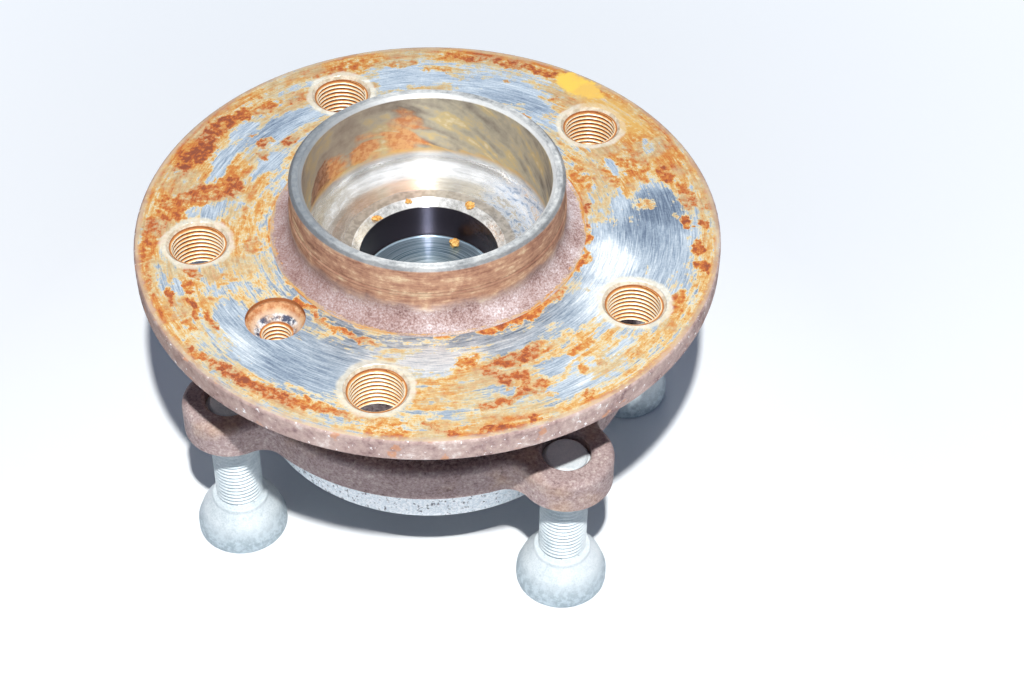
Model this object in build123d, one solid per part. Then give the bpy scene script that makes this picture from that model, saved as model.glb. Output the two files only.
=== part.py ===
from build123d import *
from math import cos, radians, sin, tan
import os

# Wheel hub bearing unit for a non-driven wheel. A hub turns on two rows of balls inside an outer
# ring, and four bolts through the ring's ears hold it to a knuckle. The unit stands on the heads of
# those bolts. The hub is one forging, written as two pieces that meet round the foot of its collar:
# the wheel flange, and the spindle with the collar and the neck.
#
# Millimetres and degrees. Z is the spin axis and points outboard, towards the wheel. The origin is
# the centre of the flange's wheel face.

# Wheel interface
wheel_bolt_circle_r = 56.0
wheel_bolt_count = 5
wheel_bolt_phase_angle = -99.7
wheel_thread_r = 7.0
wheel_thread_mouth = 0.7
boss_wall = 1.8
boss_draft = 3.6
boss_height = 3.2
disc_screw_circle_r = 47.9
disc_screw_thread_r = 4.0
disc_screw_ledge = 3.1
disc_screw_mouth_depth = 1.6
disc_screw_cone_depth = 3.2
disc_screw_boss_wall = 3.2

# Hub flange and its pilot collar
flange_margin = 15.4
flange_rim = 6.2
flange_root = 9.4
flange_edge = 0.9
hub_neck_overhang = 1.4
hub_neck_draft = 1.0
hub_neck_height = 4.8
hub_neck_round = 1.5
pilot_r = 33.25
pilot_wall = 3.25
pilot_height = 16.2
pilot_chamfer = 0.9
disc_pilot_step = 0.35
disc_pilot_height = 8.6
pilot_fillet = 4.2
seam_ledge = 0.8

# Bowl and blind bore inside the collar
bowl_depth = 6.9
bowl_fall = 0.8
bowl_fillet = 6.0
bore_r = 17.2
bore_chamfer = 1.8
bore_depth = 19.3
bore_floor_round = 0.8

# Bearing
ball_r = 6.35
ball_count = 14
pitch_r = 34.0
row_spacing = 18.1
race_clearance = 0.15
snap_lip = 0.15
inner_shoulder_height = 3.25
outer_land_height = 2.9
inner_ring_wall = 5.5
inner_ring_chamfer = 1.5
inner_ring_round = 0.4
ball_to_seal_gap = 0.5
seal_root_fillet = 4.0

# Rolled end of the spindle
rolled_collar_step = 6.0
rolled_collar_height = 4.5
rolled_collar_round = 2.0
spindle_cup_mouth_r = 16.0
spindle_cup_draft = 3.0
spindle_cup_depth = 11.5
spindle_cup_round = 2.0

# Outer ring, its ears and the knuckle's interface
ring_gap = 2.6
ring_wall = 6.5
ring_top_taper = 2.0
ring_top_round = 1.0
ring_flange_step = 6.0
ring_body_fillet = 2.5
spigot_wall = 4.4
spigot_length = 15.0
spigot_chamfer = 0.4
ear_thickness = 9.5
ear_axis_angle = -100.65
ear_near_angle = 48.45
ear_far_angle = 122.25
ear_bolt_inner_wall = 3.2
ear_wall = 5.6
ear_root_fillet = 6.0
ear_top_round = 2.0
ear_bottom_chamfer = 0.3

# Ear bolts
bolt_thread_r = 6.0
bolt_clearance = 0.05
bolt_hole_mouth = 0.7
bolt_length = 35.0
bolt_tip_recess = 1.5
bolt_tip_chamfer = 1.0
bolt_neck_step = 1.2
bolt_neck_height = 1.3
bolt_neck_fillet = 0.8
head_r = 11.4
head_height = 11.0
head_wall = 3.4
head_shoulder_inset = 1.5
head_shoulder_drop = 3.4
head_shoulder_round = 6.0
head_bottom_round = 0.9
socket_r = 3.6
socket_lobe_r = 1.25
socket_lobe_reach = 0.15
socket_lobe_count = 6
socket_depth = 5.5

# Seals. Each steel part is bent from strip, and each rubber lip stops short of what it runs on.
seal_seat_step = 0.85
seal_seat_depth = 3.8
seal_strip = 0.8
seal_wall_recess = 0.2
seal_web_gap = 3.75
lip_count = 2
lip_gap = 0.3
lip_width = 0.6
lip_lean = 0.8
rubber_thickness = 1.0
rubber_corner = 1.2
inboard_rubber_thickness = 0.6
radial_lip_drop = 0.7
radial_lip_width = 0.5
flinger_strip = 0.7
flinger_rim_clearance = 0.5
flinger_recess = 0.1
encoder_thickness = 0.8
encoder_inset = 1.15
encoder_margin = 0.2

# Cages
pocket_clearance = 0.2
cage_land_clearance = 0.7
cage_wall = 6.3
cage_prong_reach = 3.5
cage_gap = 1.9
cage_edge = 0.4
prong_slot_r = 0.9

# Radii, worked outwards and inwards from the balls
ON_FLOOR = (Align.CENTER, Align.CENTER, Align.MIN)
groove_r = ball_r + race_clearance
inner_groove_bottom_r = pitch_r - groove_r
outer_groove_bottom_r = pitch_r + groove_r
inner_low_shoulder_r = inner_groove_bottom_r + snap_lip
inner_shoulder_r = inner_groove_bottom_r + inner_shoulder_height
spindle_r = inner_groove_bottom_r - inner_ring_wall
rolled_collar_r = spindle_r + rolled_collar_step
outer_open_r = outer_groove_bottom_r - snap_lip
outer_land_r = outer_groove_bottom_r - outer_land_height
seal_seat_r = outer_open_r + seal_seat_step
seal_wall_r = seal_seat_r - seal_strip
seal_web_inner_r = inner_shoulder_r + seal_web_gap
lip_spacing = (seal_wall_r - seal_web_inner_r) / (lip_count + 1)
lip_roots = [seal_web_inner_r + lip_spacing * (i + 1) for i in range(lip_count)]
flinger_sleeve_r = inner_shoulder_r + flinger_strip
flinger_rim_r = seal_wall_r - flinger_rim_clearance
spigot_r = seal_seat_r + spigot_wall
ring_body_r = outer_groove_bottom_r + ring_wall
ring_flange_r = ring_body_r + ring_flange_step
plate_inner_r = (ring_body_r + ring_flange_r) / 2
bolt_hole_r = bolt_thread_r + bolt_clearance
ear_bolt_circle_r = ring_body_r + ear_bolt_inner_wall + bolt_hole_r
hub_neck_r = seal_seat_r + hub_neck_overhang
cage_outer_r = outer_land_r - cage_land_clearance
cage_inner_r = cage_outer_r - cage_wall
flange_r = wheel_bolt_circle_r + flange_margin
pilot_bore_r = pilot_r - pilot_wall
hub_seam_r = pilot_r + disc_pilot_step + pilot_fillet + seam_ledge
neck_root_r = hub_neck_r + hub_neck_draft

# Heights, worked down from the wheel face
boss_bottom = -(flange_root + boss_height)
hub_neck_bottom = -(flange_root + hub_neck_height)
ring_top = hub_neck_bottom - ring_gap
ball_to_ring_end = ball_r + ball_to_seal_gap + seal_seat_depth
outboard_row_z = ring_top - ball_to_ring_end
inboard_row_z = outboard_row_z - row_spacing
mid_z = (outboard_row_z + inboard_row_z) / 2
ring_bottom = inboard_row_z - ball_to_ring_end
inner_ring_end = ring_bottom + flinger_recess
seat_z = ring_bottom + spigot_length
ear_top = seat_z + ear_thickness
bolt_tip = ear_top - bolt_tip_recess
bolt_seat = bolt_tip - bolt_length
bolt_bottom = bolt_seat - head_height
cage_back_reach = (row_spacing - cage_gap) / 2

# Angles round the spin axis
wheel_bolt_step = 360 / wheel_bolt_count
wheel_bolt_angles = [wheel_bolt_phase_angle + wheel_bolt_step * i for i in range(wheel_bolt_count)]
disc_screw_angle = wheel_bolt_phase_angle - wheel_bolt_step / 2
ear_angles = [
    ear_axis_angle - ear_near_angle,
    ear_axis_angle + ear_near_angle,
    ear_axis_angle + ear_far_angle,
    ear_axis_angle - ear_far_angle,
]


def on_circle(radius, angle, z=0.0):
    """Location at an angle round the spin axis, at a height."""
    return Pos(radius * cos(radians(angle)), radius * sin(radians(angle)), z)


def section(*corners):
    """Flat outline through (radius, height) corners. A third number rounds that corner."""
    outline = Polygon(*[corner[:2] for corner in corners], align=None)
    for corner in corners:
        if len(corner) == 3:
            place = Vector(corner[0], corner[1], 0)
            vertex = outline.vertices().sort_by_distance(place)[0]
            outline = fillet(vertex, corner[2])
    return outline


def turned(outline):
    """Solid turned about the spin axis from an outline of radii and heights."""
    return revolve(Plane.XZ * outline, Axis.Z)


def groove(row_z):
    """Section of the ball groove of one row, for cutting into a ring's outline."""
    return Pos(pitch_r, row_z) * Circle(groove_r)


def hole_cutter(radius, top, bottom, mouth):
    """Round hole along Z with a 45 degree mouth at each end."""
    return turned(
        section(
            (0, top),
            (radius + mouth, top),
            (radius, top - mouth),
            (radius, bottom + mouth),
            (radius + mouth, bottom),
            (0, bottom),
        )
    )


def disc_screw_cutter():
    """Stepped hole for the screw that holds the brake disc: mouth, cone, then thread."""
    cone_top = -disc_screw_mouth_depth
    cone_bottom = cone_top - disc_screw_cone_depth
    mouth_r = disc_screw_thread_r + disc_screw_ledge
    return turned(
        section(
            (0, 0),
            (mouth_r, 0),
            (mouth_r, cone_top),
            (disc_screw_thread_r, cone_bottom),
            (disc_screw_thread_r, boss_bottom),
            (0, boss_bottom),
        )
    )


def neck():
    """Solid of the hub's neck, from under the flange to its lower end."""
    return turned(
        section(
            (0, -flange_root),
            (neck_root_r, -flange_root),
            (hub_neck_r, hub_neck_bottom),
            (0, hub_neck_bottom),
        )
    )


def hub_flange():
    """Wheel flange of the hub: a plate thinner at its rim, with a boss behind each threaded hole."""
    plate = turned(
        section(
            (hub_seam_r, 0),
            (flange_r, 0, flange_edge),
            (flange_r, -flange_rim, flange_edge),
            (neck_root_r, -flange_root),
            (hub_seam_r, -flange_root),
        )
    )
    boss_end_r = wheel_thread_r + boss_wall
    boss_rise = -boss_bottom - flange_edge
    wheel_boss = Pos(0, 0, boss_bottom) * Cone(boss_end_r, boss_end_r + boss_draft, boss_rise, align=ON_FLOOR)
    screw_boss_r = disc_screw_thread_r + disc_screw_boss_wall
    screw_boss = Pos(0, 0, boss_bottom) * Cylinder(screw_boss_r, boss_rise, align=ON_FLOOR)
    thread = hole_cutter(wheel_thread_r, 0, boss_bottom, wheel_thread_mouth)
    screw_place = on_circle(disc_screw_circle_r, disc_screw_angle)
    plate += screw_place * screw_boss - Pos(0, 0, boss_bottom) * Cylinder(hub_seam_r, boss_rise, align=ON_FLOOR)
    plate -= neck()
    for angle in wheel_bolt_angles:
        plate += on_circle(wheel_bolt_circle_r, angle) * wheel_boss
    for angle in wheel_bolt_angles:
        plate -= on_circle(wheel_bolt_circle_r, angle) * thread
    return plate - screw_place * disc_screw_cutter()


def hub_spindle():
    """Middle of the hub: pilot collar, bowl, blind bore, neck, spindle and its rolled end."""
    bore_mouth = -(bowl_depth + bowl_fall + bore_chamfer)
    collar_z = inner_ring_end
    spindle_end = collar_z - rolled_collar_height
    cup_floor = spindle_end + spindle_cup_depth
    outline = section(
        (0, -bore_depth),
        (bore_r, -bore_depth, bore_floor_round),
        (bore_r, bore_mouth),
        (bore_r + bore_chamfer, bore_mouth + bore_chamfer),
        (pilot_bore_r, -bowl_depth, bowl_fillet),
        (pilot_bore_r, pilot_height - pilot_chamfer),
        (pilot_bore_r + pilot_chamfer, pilot_height),
        (pilot_r - pilot_chamfer, pilot_height),
        (pilot_r, pilot_height - pilot_chamfer),
        (pilot_r, disc_pilot_height),
        (pilot_r + disc_pilot_step, disc_pilot_height - disc_pilot_step),
        (pilot_r + disc_pilot_step, 0, pilot_fillet),
        (hub_seam_r, 0),
        (hub_seam_r, -flange_root),
        (neck_root_r, -flange_root),
        (hub_neck_r, hub_neck_bottom, hub_neck_round),
        (inner_shoulder_r, hub_neck_bottom, seal_root_fillet),
        (inner_shoulder_r, outboard_row_z),
        (inner_low_shoulder_r, outboard_row_z),
        (inner_low_shoulder_r, mid_z),
        (spindle_r, mid_z),
        (spindle_r, collar_z + inner_ring_chamfer),
        (spindle_r + inner_ring_chamfer, collar_z),
        (rolled_collar_r, collar_z),
        (rolled_collar_r, spindle_end, rolled_collar_round),
        (spindle_cup_mouth_r, spindle_end),
        (spindle_cup_mouth_r - spindle_cup_draft, cup_floor, spindle_cup_round),
        (0, cup_floor),
    )
    return turned(outline - groove(outboard_row_z))


def inner_ring():
    """Ring pressed on the spindle, with the inner groove of the inboard row."""
    outline = section(
        (spindle_r, mid_z),
        (inner_low_shoulder_r, mid_z, inner_ring_round),
        (inner_low_shoulder_r, inboard_row_z),
        (inner_shoulder_r, inboard_row_z),
        (inner_shoulder_r, inner_ring_end),
        (spindle_r + inner_ring_chamfer, inner_ring_end),
        (spindle_r, inner_ring_end + inner_ring_chamfer),
    )
    return turned(outline - groove(inboard_row_z))


def ear_outline():
    """Plan of the ring's flange with a round ear about each bolt, blended into it."""
    plan = Circle(ring_flange_r)
    for angle in ear_angles:
        plan += on_circle(ear_bolt_circle_r, angle) * Circle(bolt_hole_r + ear_wall)
    roots = plan.vertices().filter_by(
        lambda vertex: abs(Vector(vertex.X, vertex.Y, 0).length - ring_flange_r) < ear_top_round
    )
    return fillet(roots, ear_root_fillet)


def outer_ring():
    """Fixed ring: both outer grooves, seal seats, spigot, seating face and four tapped ears."""
    outline = section(
        (seal_seat_r, ring_top),
        (seal_seat_r, ring_top - seal_seat_depth),
        (outer_open_r, ring_top - seal_seat_depth),
        (outer_open_r, outboard_row_z),
        (outer_land_r, outboard_row_z),
        (outer_land_r, inboard_row_z),
        (outer_open_r, inboard_row_z),
        (outer_open_r, ring_bottom + seal_seat_depth),
        (seal_seat_r, ring_bottom + seal_seat_depth),
        (seal_seat_r, ring_bottom),
        (spigot_r - spigot_chamfer, ring_bottom),
        (spigot_r, ring_bottom + spigot_chamfer),
        (spigot_r, seat_z),
        (plate_inner_r, seat_z),
        (plate_inner_r, ear_top),
        (ring_body_r, ear_top, ring_body_fillet),
        (ring_body_r - ring_top_taper, ring_top, ring_top_round),
    )
    ring = turned(outline - groove(outboard_row_z) - groove(inboard_row_z))
    plate = Pos(0, 0, seat_z) * extrude(ear_outline(), ear_thickness)
    plate = fillet(plate.edges().group_by(Axis.Z)[-1], ear_top_round)
    plate = chamfer(plate.edges().group_by(Axis.Z)[0], ear_bottom_chamfer)
    plate -= Pos(0, 0, seat_z) * Cylinder(plate_inner_r, ear_thickness, align=ON_FLOOR)
    thread = hole_cutter(bolt_hole_r, ear_top, seat_z, bolt_hole_mouth)
    for angle in ear_angles:
        plate -= on_circle(ear_bolt_circle_r, angle) * thread
    return ring + plate


def balls(row_z):
    """The balls of one row, each a solid of its own, in order round the axis."""
    places = [on_circle(pitch_r, 360 * i / ball_count, row_z) for i in range(ball_count)]
    return [place * Sphere(ball_r) for place in places]


def cage(row_z, back):
    """Snap-in cage of one row. back is -1 or 1, the side its closed rim lies on along Z."""
    back_z = row_z + back * cage_back_reach
    prong_z = row_z - back * cage_prong_reach
    body = turned(
        section(
            (cage_inner_r, back_z, cage_edge),
            (cage_outer_r, back_z, cage_edge),
            (cage_outer_r, prong_z, cage_edge),
            (cage_inner_r, prong_z, cage_edge),
        )
    )
    pocket = Sphere(ball_r + pocket_clearance)
    slot = Rot(0, 90, 0) * Cylinder(prong_slot_r, 2 * (cage_outer_r - cage_inner_r))
    for i in range(ball_count):
        body -= on_circle(pitch_r, 360 * i / ball_count, row_z) * pocket
    for i in range(ball_count):
        between = 360 * (i + 0.5) / ball_count
        body -= Rot(0, 0, between) * Pos(pitch_r, 0, prong_z) * slot
    return body


def outboard_seal_core():
    """Steel ring pressed into the outboard seat, with a web that carries the rubber."""
    top = ring_top - seal_wall_recess
    bottom = ring_top - seal_seat_depth + seal_wall_recess
    return turned(
        section(
            (seal_seat_r, top),
            (seal_wall_r, top),
            (seal_wall_r, bottom + seal_strip),
            (seal_web_inner_r, bottom + seal_strip),
            (seal_web_inner_r, bottom),
            (seal_seat_r, bottom),
        )
    )


def outboard_seal_lip():
    """Rubber bonded to the outboard core: two lips to the hub's face and one to its shoulder."""
    web_bottom = ring_top - seal_seat_depth + seal_wall_recess
    web_top = web_bottom + seal_strip
    skin = web_top + rubber_thickness
    tip = hub_neck_bottom - lip_gap
    inner_tip_r = inner_shoulder_r + lip_gap
    lips = []
    for root in reversed(lip_roots):
        lips += [
            (root + lip_width, skin),
            (root + lip_width + lip_lean, tip),
            (root + lip_lean, tip),
            (root - lip_width / 2, skin),
        ]
    return turned(
        section(
            (seal_wall_r, web_top),
            (seal_wall_r, skin + rubber_corner),
            (seal_wall_r - rubber_corner / 2, skin),
            *lips,
            (seal_web_inner_r, skin),
            (inner_tip_r, web_bottom + radial_lip_width),
            (inner_tip_r, web_bottom),
            (seal_web_inner_r, web_bottom),
            (seal_web_inner_r, web_top),
        )
    )


def inboard_seal_case():
    """Steel case of the inboard seal, pressed into the ring, with its web towards the balls."""
    web_top = ring_bottom + seal_seat_depth - seal_wall_recess
    bottom = ring_bottom + seal_wall_recess
    return turned(
        section(
            (seal_seat_r, web_top),
            (seal_seat_r, bottom),
            (seal_wall_r, bottom),
            (seal_wall_r, web_top - seal_strip),
            (seal_web_inner_r, web_top - seal_strip),
            (seal_web_inner_r, web_top),
        )
    )


def inboard_flinger():
    """Bent ring pressed on the inner ring's shoulder, which turns against the inboard lips."""
    top = ring_bottom + seal_seat_depth - seal_wall_recess
    return turned(
        section(
            (inner_shoulder_r, top),
            (flinger_sleeve_r, top),
            (flinger_sleeve_r, inner_ring_end + flinger_strip),
            (flinger_rim_r, inner_ring_end + flinger_strip),
            (flinger_rim_r, inner_ring_end),
            (inner_shoulder_r, inner_ring_end),
        )
    )


def inboard_seal_lip():
    """Rubber bonded to the inboard case: two lips to the flinger's face and one to its sleeve."""
    web_top = ring_bottom + seal_seat_depth - seal_wall_recess
    web_bottom = web_top - seal_strip
    skin = web_bottom - inboard_rubber_thickness
    tip = inner_ring_end + flinger_strip + lip_gap
    inner_tip_r = flinger_sleeve_r + lip_gap
    lips = []
    for root in lip_roots:
        lips += [
            (root - lip_width / 2, skin),
            (root + lip_width, tip),
            (root + 2 * lip_width, tip),
            (root + lip_width, skin),
        ]
    return turned(
        section(
            (seal_wall_r, web_bottom),
            (seal_web_inner_r, web_bottom),
            (seal_web_inner_r, web_top),
            (inner_tip_r, web_top - radial_lip_drop + radial_lip_width),
            (inner_tip_r, web_top - radial_lip_drop),
            (seal_web_inner_r, skin),
            *lips,
            (seal_wall_r, skin),
        )
    )


def encoder_ring():
    """Magnetised ring bonded to the flinger's open face, read by a wheel speed sensor."""
    rim_r = flinger_rim_r - encoder_margin
    inner_r = flinger_sleeve_r + encoder_inset
    return turned(
        section(
            (inner_r, inner_ring_end),
            (rim_r, inner_ring_end),
            (rim_r, inner_ring_end - encoder_thickness),
            (inner_r, inner_ring_end - encoder_thickness),
        )
    )


def bolt():
    """Ear bolt on the spin axis: plain shank, neck, domed head and a six-lobed socket."""
    rim_top = bolt_bottom + head_wall
    neck_r = bolt_thread_r + bolt_neck_step
    shoulder_r = head_r - head_shoulder_inset
    body = turned(
        section(
            (0, bolt_tip),
            (bolt_thread_r - bolt_tip_chamfer, bolt_tip),
            (bolt_thread_r, bolt_tip - bolt_tip_chamfer),
            (bolt_thread_r, bolt_seat + bolt_neck_height, bolt_neck_fillet),
            (neck_r, bolt_seat + bolt_neck_height),
            (neck_r, bolt_seat),
            (shoulder_r, bolt_seat - head_shoulder_drop, head_shoulder_round),
            (head_r, rim_top),
            (head_r, bolt_bottom, head_bottom_round),
            (0, bolt_bottom),
        )
    )
    socket = Circle(socket_r)
    for i in range(socket_lobe_count):
        lobe = Circle(socket_lobe_r)
        socket += on_circle(socket_r + socket_lobe_reach, 360 * i / socket_lobe_count) * lobe
    return body - Pos(0, 0, bolt_bottom) * extrude(socket, socket_depth)


def write(name, solid):
    """Write one piece to its own file."""
    export_step(solid, f"parts/{name}.step")


os.makedirs("parts", exist_ok=True)
write("hub_flange", hub_flange())
write("hub_spindle", hub_spindle())
write("inner_ring", inner_ring())
write("outer_ring", outer_ring())
write("outboard_cage", cage(outboard_row_z, -1))
write("inboard_cage", cage(inboard_row_z, 1))
write("outboard_seal_core", outboard_seal_core())
write("outboard_seal_lip", outboard_seal_lip())
write("inboard_seal_case", inboard_seal_case())
write("inboard_seal_lip", inboard_seal_lip())
write("inboard_flinger", inboard_flinger())
write("encoder_ring", encoder_ring())
for number, ball in enumerate(balls(outboard_row_z), start=1):
    write(f"outboard_ball_{number:02d}", ball)
for number, ball in enumerate(balls(inboard_row_z), start=1):
    write(f"inboard_ball_{number:02d}", ball)
for number, angle in enumerate(ear_angles, start=1):
    write(f"bolt_{number}", on_circle(ear_bolt_circle_r, angle) * bolt())
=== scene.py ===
"""Looks of a used wheel hub bearing: a turned flange with patches of rust, a pilot collar with a bright
bowl and a bore painted dark as shade, a rusted outer ring with a pale spigot, and four silver ear bolts
that it stands on."""

import math

import bmesh
import bpy
from mathutils import Matrix, Vector, noise


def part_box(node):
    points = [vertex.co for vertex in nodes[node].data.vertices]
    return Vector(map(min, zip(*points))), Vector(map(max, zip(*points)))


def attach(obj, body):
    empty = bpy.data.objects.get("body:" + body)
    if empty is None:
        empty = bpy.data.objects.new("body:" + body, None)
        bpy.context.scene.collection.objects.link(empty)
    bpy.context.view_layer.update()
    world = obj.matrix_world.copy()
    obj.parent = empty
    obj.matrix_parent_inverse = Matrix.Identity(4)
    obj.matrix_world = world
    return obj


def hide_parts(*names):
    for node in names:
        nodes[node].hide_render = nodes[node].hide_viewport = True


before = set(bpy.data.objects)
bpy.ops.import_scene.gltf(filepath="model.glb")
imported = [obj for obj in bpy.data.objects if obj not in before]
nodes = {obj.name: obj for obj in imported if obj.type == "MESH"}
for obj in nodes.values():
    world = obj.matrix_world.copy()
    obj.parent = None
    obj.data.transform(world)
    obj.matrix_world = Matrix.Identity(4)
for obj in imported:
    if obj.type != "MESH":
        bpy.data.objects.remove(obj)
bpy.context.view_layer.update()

MM = 0.001
FLOOR_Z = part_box("bolt_1")[0].z

# Places on the part, in millimetres and degrees, in the frame's own axes
WHEEL_CIRCLE_R = 56.0
WHEEL_HOLE_PHASE = -99.7
WHEEL_HOLES = 5
WHEEL_HOLE_STEP = 360.0 / WHEEL_HOLES
DISC_SCREW_R = 47.9
DISC_SCREW_ANGLE = WHEEL_HOLE_PHASE - WHEEL_HOLE_STEP / 2
COLLAR_TOP = 16.2
COLLAR_WALL_R = 33.0
ARC_R = 55.0
FACE_SEAM_ANGLE = 90

# Where the flange's finishes meet
FACE_FOOT = (36.6, 39.6)
FACE_EDGE_R = 70.0
FACE_Z = -0.14
HOLE_WALL_Z = -0.12
HOLE_MOUTH_R = 7.75
SCREW_MOUTH_R = 7.15
UNDERSIDE_Z = -6.3

# Where the spindle's finishes meet, from the outside in
SAND_EDGE_R = 37.7
FOOT_R = 33.0
WALL_R = 32.6
WALL_FOOT_Z = 4.6
LIP_DEPTH = 0.85
INNER_WALL_R = 30.6
BOWL_Z = -2.4
CHAMFER_R = 19.05
CHAMFER_Z = -9.5
BORE_TOP_Z = -9.45
BORE_R = 17.6
BORE_FLOOR_R = 17.0
BORE_FLOOR_Z = -18.9
CLEAN_STEEL_Z = -40.0

# Where the outer ring's finishes meet
RING_SHADE_R = 51.0
SPIGOT_Z = -41.4
SPIGOT_R = (44.3, 45.8)
RING_SEAT_Z = -41.1
RING_SEAT_R = 41.5
RING_BORE_R = 41.6

# Ear bolts. A head's painted shade deepens from the first of the two shade radii to the second.
BOLT_NUMBERS = range(1, 5)
BOLT_SEGMENTS = 96
BOLT_PITCH = 1.25
BOLT_CREST_R = 5.98
BOLT_ROOT_R = 5.24
BOLT_END_R = 9.0
BOLT_HEAD_R = 11.4
BOLT_HEAD_HEIGHT = 11.0
BOLT_RIM_HEIGHT = 3.4
BOLT_DOME_R = 9.9
BOLT_DOME_DROP = 3.4
BOLT_NECK_R = 7.2
BOLT_NECK_HEIGHT = 1.3
BOLT_SHADE_R = (9.2, 11.6)
BOLT_RUNOUT = 0.3
BOLT_TIP_LENGTH = 1.0
SOCKET_DEPTH = 5.5
SOCKET_CONE_HEIGHT = 0.8
SOCKET_MOUTH = 0.3
SOCKET_WALL_R = 3.6
SOCKET_LOBE_CENTRE_R = 3.75
SOCKET_LOBE_R = 1.25

# Threads: rows of faces to a turn, the share of the pitch that is flat at a crest or a root, and for
# the holes the pitch, the metal behind a root, the crest and outer radii, and the two ends
THREAD_ROWS = 8
THREAD_FLAT = 0.16
HOLE_THREAD_PITCH = 1.25
HOLE_ROOT_GAP = 0.05
WHEEL_THREAD_R = (6.3, 6.99)
WHEEL_THREAD_Z = (-12.1, -0.75)
SCREW_THREAD_R = (3.4, 3.99)
SCREW_THREAD_Z = (-12.4, -5.0)

# Meshes: merged points and slivers, in metres, and the angle from which an edge is sharp
MERGE_DISTANCE = 2e-6
SLIVER_LENGTH = 1e-7
SHARP_ANGLE = 38

# Shading: gloss of rust and zinc, the least radius at which a direction from the axis is taken, how
# much of a turned face's grain also changes with height, and a distance past every other
RUST_GLOSS = {"Specular_IOR_Level": 0.15}
AXIS_GUARD = 0.5
DOWN_SHARE = 0.73
FAR_AWAY = 100.0


def on_circle(radius, angle):
    """Point in millimetres at a radius and an angle round the spin axis."""
    return Vector((radius * math.cos(math.radians(angle)), radius * math.sin(math.radians(angle)), 0.0))


DISC_SCREW_PLACE = on_circle(DISC_SCREW_R, DISC_SCREW_ANGLE)


def srgb(colour):
    """Linear colour with full alpha from a screen colour, three values of 0 to 255."""
    linear = []
    for value in colour:
        share = value / 255
        linear.append(share / 12.92 if share <= 0.04045 else ((share + 0.055) / 1.055) ** 2.4)
    return (*linear, 1.0)


# Material graphs


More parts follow.
